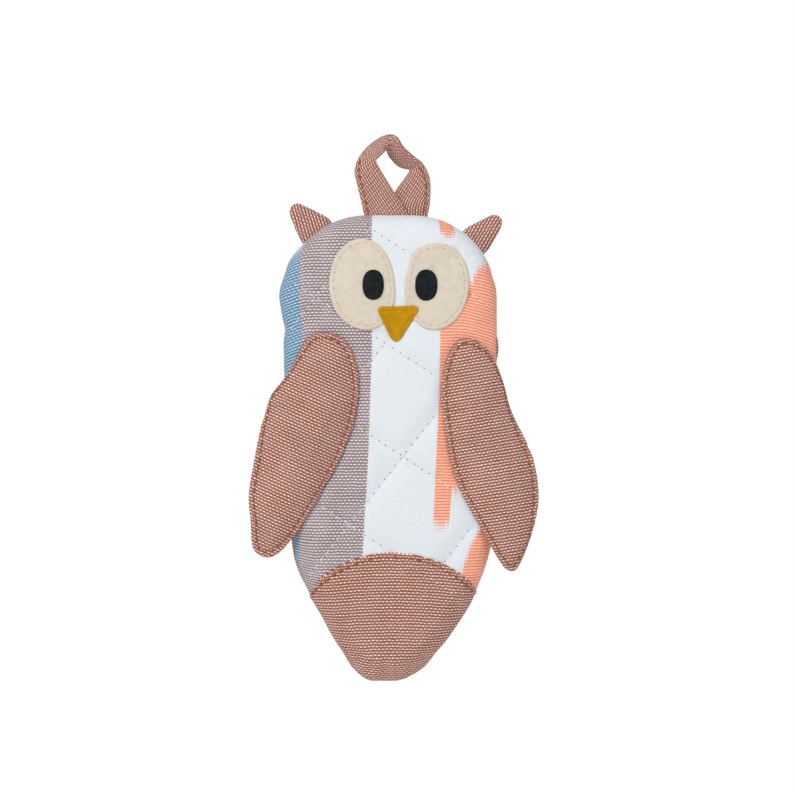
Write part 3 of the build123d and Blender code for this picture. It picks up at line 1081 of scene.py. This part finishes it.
def make_ear(side):
    """An ear: two layers of cloth sewn, turned and pressed, its base in the side seam."""
    joint = joint_named(f"{side}_ear_bend")
    middle = np.array([joint["pos_m"][0], joint["pos_m"][2]]) / MM
    across = np.array([joint["axis"][0], joint["axis"][2]])
    across /= np.linalg.norm(across)
    own = hull(node_points(f"{side}_ear_front"))
    outward = np.array([-across[1], across[0]])
    if outward @ (own.mean(0) - middle) < 0:
        outward = -outward
    sunk = own[((own - middle) @ outward) < 0.5] - outward * EAR_SUNK
    outline = smooth_loop(resample(hull(np.vstack([own, sunk])), EAR_SPACING), 2)
    flat, faces, ring = pattern(outline, EAR_SPACING)
    depth = depth_in(flat, outline)
    thick = 0.5 * rounded(depth, 0.8)
    thick = thick + EAR_FULLNESS * (1 - np.exp(-np.maximum(depth - 0.4, 0.0) / 1.8))
    along = (flat - middle) @ outward
    ripple = 0.22 * np.sin((flat - middle) @ across * 0.9 + 0.6) * clamped(1 - along / 9.0)
    ear = closed_pad(f"{side}_ear_cloth", flat, faces, ring, -thick + ripple, thick + ripple,
                     EAR_GRAINS[side], [f"{side}_ear_front", f"{side}_ear_back"])
    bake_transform(ear)


# ---------------------------------------------------------------- felt pieces
def felt_piece(node, tree, thickness, seam, slot, grown=(1.0, 1.0)):
    """A felt shape laid on the surface below it, dented along its sewing."""
    outline = node_outline(node, FELT_SPACING)
    hold = np.array([outline[:, 0].mean(), outline[:, 1].max()])
    outline = resample(hold + (outline - hold) * grown, FELT_SPACING)
    flat, faces, ring = pattern(outline, FELT_SPACING)
    ground, _ = front_of(tree, flat)
    ground = np.minimum(ground, relaxed(ground, faces, 60)) - 0.02
    ground = relaxed(ground, faces, 6)
    depth = depth_in(flat, outline)
    seam_loop = resample(moved_in(outline, seam), STITCH_PITCH)
    holes = np.min(np.linalg.norm(flat[:, None, :] - seam_loop[None, :, :], axis=2), axis=1)
    full = thickness * (1 - FELT_ROUND + FELT_ROUND * rounded(depth, 1.1))
    full = full - SEAM_DENT * bell(depth, seam, 0.7) - NEEDLE_DENT * bell(holes, 0.0, 0.40)
    lumps = np.random.default_rng(SEED).normal(0.0, FELT_LUMPS, len(flat))
    full = full + relaxed(lumps, faces, 3) * clamped(depth)
    count = len(flat)
    sides = band(ring, [count + i for i in ring])
    points = np.vstack([placed(flat, ground - full), placed(flat, ground + FELT_SUNK)])
    back_faces = [[count + i for i in face][::-1] for face in faces]
    piece = make_piece(f"{node}_felt", points, faces + sides + back_faces, np.vstack([flat, flat]),
                       slot, [node], 1)
    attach(piece, "body")
    return piece, outline, cut_size(flat, faces)


# ---------------------------------------------------------------- stitches
HOLE_SIDES = 8
THREAD_SIDES = 7
THREAD_STATIONS = 7
# How far a stitch's ends sink, as a share of its lift, and how uneven stitches are
SUNK_ENDS = 0.6
LENGTH_SPREAD = (0.92, 1.06)
SIDE_SPREAD = 0.09


def spoke(side, up, number, count):
    """One of the directions around a thread or a hole."""
    turn = 2 * math.pi * number / count
    return side * math.cos(turn) + up * math.sin(turn)


def needle_hole(points, faces, flat, centre, side, tangent, normal, radius):
    """A small dent where the needle went through the cloth, dark with painted shade from the thread's hole
    colour.
    """
    base = len(points)
    points += [centre + radius * spoke(side, tangent, i, HOLE_SIDES) for i in range(HOLE_SIDES)]
    points.append(centre + normal * radius * 0.5)
    points.append(centre - normal * radius)
    # These pattern coordinates give the dent the thread's hole colour, which is painted shade
    flat += [(0.0, 1.0)] * (HOLE_SIDES + 2)
    for i in range(HOLE_SIDES):
        n = (i + 1) % HOLE_SIDES
        faces.append([base + n, base + i, base + HOLE_SIDES])
        faces.append([base + i, base + n, base + HOLE_SIDES + 1])


def stitches(name, rows, slot, node, pitch=STITCH_PITCH, share=0.88, radius=THREAD_RADIUS,
             lift=0.3, hole=0.0):
    """Every stitch of a seam as its own short bent thread. rows are (points, normals) lines."""
    rng = random.Random(SEED)
    points = []
    faces = []
    flat = []
    t = np.linspace(-1.0, 1.0, THREAD_STATIONS)
    width = radius * np.sqrt(np.clip(1 - np.abs(t) ** 5, 0.04, 1.0))
    for line, normals in rows:
        along = lengths(line)
        count = max(1, round(along[-1] / pitch))
        own_pitch = along[-1] / count
        for k in range(count):
            middle = (k + 0.5) * own_pitch
            half = own_pitch * share * 0.5 * rng.uniform(*LENGTH_SPREAD)
            at = np.linspace(middle - half, middle + half, THREAD_STATIONS)
            centre = np.column_stack([np.interp(at, along, line[:, c]) for c in range(3)])
            normal = unit(np.column_stack([np.interp(at, along, normals[:, c]) for c in range(3)]))
            centre = centre + normal * (lift * (1 - t**2) * (1 + SUNK_ENDS) - lift * SUNK_ENDS)[:, None]
            tangent = unit(np.gradient(centre, axis=0))
            side = unit(np.cross(tangent, normal))
            centre += side * rng.uniform(-SIDE_SPREAD, SIDE_SPREAD)
            up = np.cross(side, tangent)
            if hole:
                needle_hole(points, faces, flat, centre[0] + up[0] * 0.1, side[0], tangent[0], up[0], hole)
            base = len(points)
            for i in range(THREAD_STATIONS):
                for s in range(THREAD_SIDES):
                    points.append(centre[i] + width[i] * spoke(side[i], up[i], s, THREAD_SIDES))
                    flat.append((at[i], t[i]))
            for i in range(THREAD_STATIONS - 1):
                for s in range(THREAD_SIDES):
                    a = base + i * THREAD_SIDES + s
                    b = base + i * THREAD_SIDES + (s + 1) % THREAD_SIDES
                    faces.append([a, b, b + THREAD_SIDES, a + THREAD_SIDES])
            last = base + (THREAD_STATIONS - 1) * THREAD_SIDES
            faces.append([base + s for s in range(THREAD_SIDES)][::-1])
            faces.append([last + s for s in range(THREAD_SIDES)])
    return make_piece(name, np.array(points), [f[::-1] for f in faces], np.array(flat), slot, [node])


def body_seam(*arguments, **settings):
    """Stitches that stay on the body."""
    seam = stitches(*arguments, **settings)
    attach(seam, "body")
    return seam


def laid_row(tree, line, closed=True):
    """A line of sewing laid on a surface: its points and the way the surface faces."""
    if closed:
        line = np.vstack([line, line[:1]])
    line = resample(line, LINE_SPACING, closed=False)
    heights, normals = front_of(tree, line)
    return placed(line, heights), normals


# ---------------------------------------------------------------- hanging loop
# Stations along the strap from the front end over the top to the back end. Each gives the
# outer and the inner edge of the strap as X, Y, Z, in millimetres.
STRAP = [
    ((-8.4, -1.1, -28.0), (10.4, -1.1, -28.0)),
    ((-9.2, -1.2, -24.0), (8.2, -1.2, -24.0)),
    ((-10.4, -1.3, -18.5), (4.7, -1.4, -18.3)),
    ((-11.9, -1.2, -12.4), (0.8, -1.8, -12.0)),
    ((-12.7, -0.2, -7.4), (-2.3, -2.8, -7.0)),
    ((-11.3, 1.8, -2.8), (-4.1, -4.4, -3.6)),
    ((-8.9, 3.4, 0.9), (-2.8, -5.2, -2.1)),
    ((-5.6, 4.6, 4.1), (-1.7, -5.6, -1.0)),
    ((-1.6, 4.4, 6.6), (-0.7, -5.2, 0.1)),
    ((2.3, 0.8, 7.3), (-0.1, -2.4, 0.6)),
    ((4.6, -3.6, 5.7), (1.0, 2.8, -1.1)),
    ((6.3, -4.6, 2.8), (2.7, 4.8, -3.0)),
    ((8.7, -4.4, 0.1), (4.8, 5.2, -5.0)),
    ((11.8, -3.4, -2.5), (7.0, 4.4, -6.0)),
    ((15.0, -1.8, -5.0), (9.5, 2.8, -6.9)),
    ((17.3, 0.2, -9.2), (7.6, 1.6, -10.0)),
    ((18.0, 1.0, -14.2), (4.4, 1.2, -14.4)),
    ((17.7, 1.1, -20.4), (1.0, 1.1, -20.4)),
    ((16.9, 1.1, -25.0), (0.2, 1.1, -25.0)),
    ((16.6, 1.1, -28.0), (0.0, 1.1, -28.0)),
]
STRAP_THICKNESS = 1.7
STRAP_SEAM = 1.9
STRAP_TURNED_IN = (4.5, 2.6, 0.9)
STRAP_WEAVE = 0.9
STRAP_STEPS = 190
STRAP_SIDES = 43
# The topstitching shows up to the first share of the length and from the second one on
STRAP_SEWN = (0.27, 0.74)


def smooth_path(points, steps):
    """A curve through points, by Catmull-Rom spans."""
    points = np.array(points, float)
    padded = np.vstack([2 * points[0] - points[1], points, 2 * points[-1] - points[-2]])
    at = np.linspace(0.0, len(points) - 1.0, steps)
    made = []
    for value in at:
        k = min(int(value), len(points) - 2)
        t = value - k
        a, b, c, d = padded[k:k + 4]
        made.append(0.5 * (2 * b + (c - a) * t + (2 * a - 5 * b + 4 * c - d) * t**2
                           + (3 * b - a - 3 * c + d) * t**3))
    return np.array(made)


def strap_section(width):
    """A band folded in half, in section: the fold at +X, and both raw edges turned in at -X."""
    angle = np.radians(np.linspace(172, -172, STRAP_SIDES))
    x = np.sign(np.cos(angle)) * np.abs(np.cos(angle)) ** 0.45 * width / 2
    groove = 0.22 * bell(-x, width / 2 - STRAP_SEAM, 0.6)
    y = np.sign(np.sin(angle)) * np.abs(np.sin(angle)) ** 0.7 * (STRAP_THICKNESS / 2 - groove)
    hem = np.array(STRAP_TURNED_IN) - width / 2
    hem_y = np.full(len(hem), 0.08 * STRAP_THICKNESS)
    return np.concatenate([hem, x, hem[::-1]]), np.concatenate([hem_y, y, -hem_y])


def make_loop():
    """The strap: a folded band of cloth, swept along the lines of its two edges."""
    outer = smooth_path([s[0] for s in STRAP], STRAP_STEPS)
    inner = smooth_path([s[1] for s in STRAP], STRAP_STEPS)
    centre = (outer + inner) / 2
    across = inner - outer
    width = np.linalg.norm(across, axis=1)
    across /= width[:, None]
    normal = unit(np.cross(unit(np.gradient(centre, axis=0)), across))
    length = lengths(centre)
    points = []
    flat = []
    for i in range(STRAP_STEPS):
        x, y = strap_section(width[i])
        points.append(centre[i] + across[i] * x[:, None] + normal[i] * y[:, None])
        around = lengths(np.column_stack([x, y]))
        around -= around[len(x) // 2]
        flat.append(np.column_stack([np.full(len(x), length[i]), around]))
    size = len(points[0])
    faces = []
    for i in range(STRAP_STEPS - 1):
        for s in range(size - 1):
            a, b = i * size + s, i * size + s + 1
            faces.append([b, a, a + size, b + size])
    flat = np.vstack(flat) / STRAP_WEAVE
    loop = make_piece("hanging_loop_strap", np.vstack(points), faces, flat, "brown_cotton", ["hanging_loop"])
    facing = np.where((normal[:, 1] < 0)[:, None], normal, -normal)
    line = outer + across * STRAP_SEAM + facing * (STRAP_THICKNESS / 2 - 0.15)
    first, last = (int(STRAP_STEPS * share) for share in STRAP_SEWN)
    rows = [(line[:first], facing[:first]), (line[last:], facing[last:])]
    seam = stitches("hanging_loop_topstitching", rows, "rust_thread", "hanging_loop_stitches")
    for piece in (loop, seam):
        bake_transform(piece)


# ---------------------------------------------------------------- stage
CAMERA_X = 4.4
CAMERA_Z = -98.6
CAMERA_DISTANCE = 1200.0
FRAME_WIDTH = 317.6
SENSOR = 36.0
# Floor and lights, in metres: the floor's reach to each side, to the front and to the back, and
# how far it lies below the owl
FLOOR_SIDE = 1.2
FLOOR_FRONT = -0.9
FLOOR_BACK = 0.3
FLOOR_DROP = 0.09
FILL = (0.95, 0.975, 1.0, 1)
FILL_STRENGTH = 0.50
# Each light: its name, place, size, power and tint
LIGHTS = [
    ("key_light", (-0.55, -0.80, 0.60), 0.6, 8.6, (1.0, 0.985, 0.965)),
    ("side_light", (0.80, -0.75, 0.10), 0.8, 2.4, (0.97, 0.985, 1.0)),
    ("back_light", (-0.3, 0.9, 0.4), 0.8, 7.0, (1.0, 1.0, 1.0)),
]


def make_stage():
    camera = linked("camera", bpy.data.cameras.new("camera"))
    camera.location = (CAMERA_X * MM, -CAMERA_DISTANCE * MM, CAMERA_Z * MM)
    camera.rotation_euler = (math.radians(90), 0, 0)
    camera.data.sensor_width = SENSOR
    camera.data.lens = SENSOR * (CAMERA_DISTANCE - HALF_THICKNESS) / FRAME_WIDTH
    camera.data.clip_start = 0.05
    bpy.context.scene.camera = camera

    level = cad_box[0].z - FLOOR_DROP
    points = [(-FLOOR_SIDE, FLOOR_FRONT, level), (FLOOR_SIDE, FLOOR_FRONT, level),
              (FLOOR_SIDE, FLOOR_BACK, level), (-FLOOR_SIDE, FLOOR_BACK, level)]
    mesh = bpy.data.meshes.new("floor")
    mesh.from_pydata(points, [], [(0, 1, 2, 3)])
    mesh.materials.append(plain_floor())
    linked("floor", mesh)

    nodes = Nodes(bpy.data.worlds.new("studio"))
    camera_ray = nodes.add("ShaderNodeLightPath")
    seen = nodes.add("ShaderNodeBackground", {"Color": (1, 1, 1, 1), "Strength": 1.0})
    fill = nodes.add("ShaderNodeBackground", {"Color": FILL, "Strength": FILL_STRENGTH})
    shown = nodes.add("ShaderNodeMixShader", {0: camera_ray, 1: fill, 2: seen})
    nodes.close("ShaderNodeOutputWorld", shown)
    bpy.context.scene.world = nodes.owner

    for name, place, size, power, tint in LIGHTS:
        light = linked(name, bpy.data.lights.new(name, "AREA"))
        light.data.shape = "DISK"
        light.data.size = size
        light.data.energy = power
        light.data.color = tint
        light.location = place
        aim = Vector((0.0, 0.0, CAMERA_Z * MM)) - light.location
        light.rotation_euler = aim.to_track_quat("-Z", "Y").to_euler()
    bpy.context.scene.view_settings.view_transform = "Standard"


def make_face():
    """The felt eyes, pupils and beak and their sewing. Returns the outlines that cover quilting."""
    eyes = [felt_piece(f"{side}_eye_patch", body_surface, EYE_FELT, EYE_SEAM, "cream_felt")
            for side in SIDES]
    face_surface = surface_of(front, *(eye[0] for eye in eyes))
    pupils = [felt_piece(f"{side}_pupil", face_surface, PUPIL_FELT, PUPIL_SEAM, "charcoal_felt")
              for side in SIDES]
    beak, beak_outline, beak_cut = felt_piece(
        "beak", face_surface, BEAK_FELT, BEAK_SEAM, "mustard_felt", BEAK_GROWN)
    top_surface = surface_of(*(part[0] for part in eyes + pupils), beak)

    beak_clear = moved_in(beak_outline, -0.4)
    for side, (eye, outline, cut), (pupil, pupil_outline, _) in zip(SIDES, eyes, pupils):
        loop = resample(moved_in(outline, EYE_SEAM), LINE_SPACING)
        hidden = inside(loop, beak_clear)[0] > 0
        first = int(np.flatnonzero(hidden)[-1]) if hidden.any() else 0
        loop = np.roll(loop, -first - 1, axis=0)
        shown = loop[inside(loop, beak_clear)[0] <= 0]
        row = laid_row(top_surface, shown, closed=not hidden.any())
        seam = body_seam(f"{side}_eye_sewing", [row], "cream_thread", f"{side}_eye_stitches",
                         radius=0.15, lift=0.04, hole=0.24)
        row = laid_row(top_surface, resample(moved_in(pupil_outline, PUPIL_SEAM), LINE_SPACING))
        pupil_seam = body_seam(f"{side}_pupil_sewing", [row], "charcoal_thread",
                               f"{side}_pupil_stitches", radius=0.18, lift=0.06)
    row = laid_row(top_surface, resample(moved_in(beak_outline, BEAK_SEAM), LINE_SPACING))
    seam = body_seam("beak_sewing", [row], "mustard_thread", "beak_stitches", radius=0.17, lift=0.05)
    return [eye[1] for eye in eyes] + [beak_outline]


def sew_quilting(covers):
    """Quilting thread, where nothing covers the front."""
    covers = covers + [node_outline(f"{side}_wing_back", 3.0) for side in SIDES]
    rows = []
    for line in quilting_lines():
        line = resample(line, LINE_SPACING, closed=False)
        free = inside(line, BODY_OUTLINE)[0] > 3.0
        for cover in covers:
            free &= inside(line, cover)[0] < -0.8
        free &= np.linalg.norm(line - TAIL_CENTRE, axis=1) > TAIL_RADIUS + 1.0
        ends = np.flatnonzero(np.diff(np.concatenate([[False], free, [False]]).astype(int)))
        for start, stop in zip(ends[::2], ends[1::2]):
            if stop - start > 5:
                rows.append(laid_row(body_surface, line[start:stop], closed=False))
    body_seam("quilting_thread", rows, "white_thread", "quilting_stitches",
              pitch=QUILTING_PITCH, share=0.9, radius=0.14, lift=0.05, hole=0.30)


def sew_tail():
    line = tail_arc(TAIL_RADIUS - TAIL_SEAM, LINE_SPACING)
    line = line[inside(line, BODY_OUTLINE)[0] > 0.8]
    row = laid_row(surface_of(tail), line, closed=False)
    seam = body_seam("tail_topstitching", [row], "rust_thread", "tail_stitches")


def join_wing(side):
    """A wing with its topstitching."""
    wing, wing_seam = make_wing(side)
    row = laid_row(surface_of(wing), wing_seam)
    seam = stitches(f"{side}_wing_topstitching", [row], "rust_thread", f"{side}_wing_stitches")
    joint = joint_named(f"{side}_wing_lift")
    down = Vector(joint["axis"]).normalized().cross(Vector((0, 1, 0)))
    if down.z > 0:
        down = -down
    for piece in (wing, seam):
        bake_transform(piece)


make_stage()
front, tail, tail_cut = make_body()
body_surface = surface_of(front, tail)
sew_quilting(make_face())
sew_tail()
for side in SIDES:
    join_wing(side)
for side in SIDES:
    make_ear(side)
make_loop()
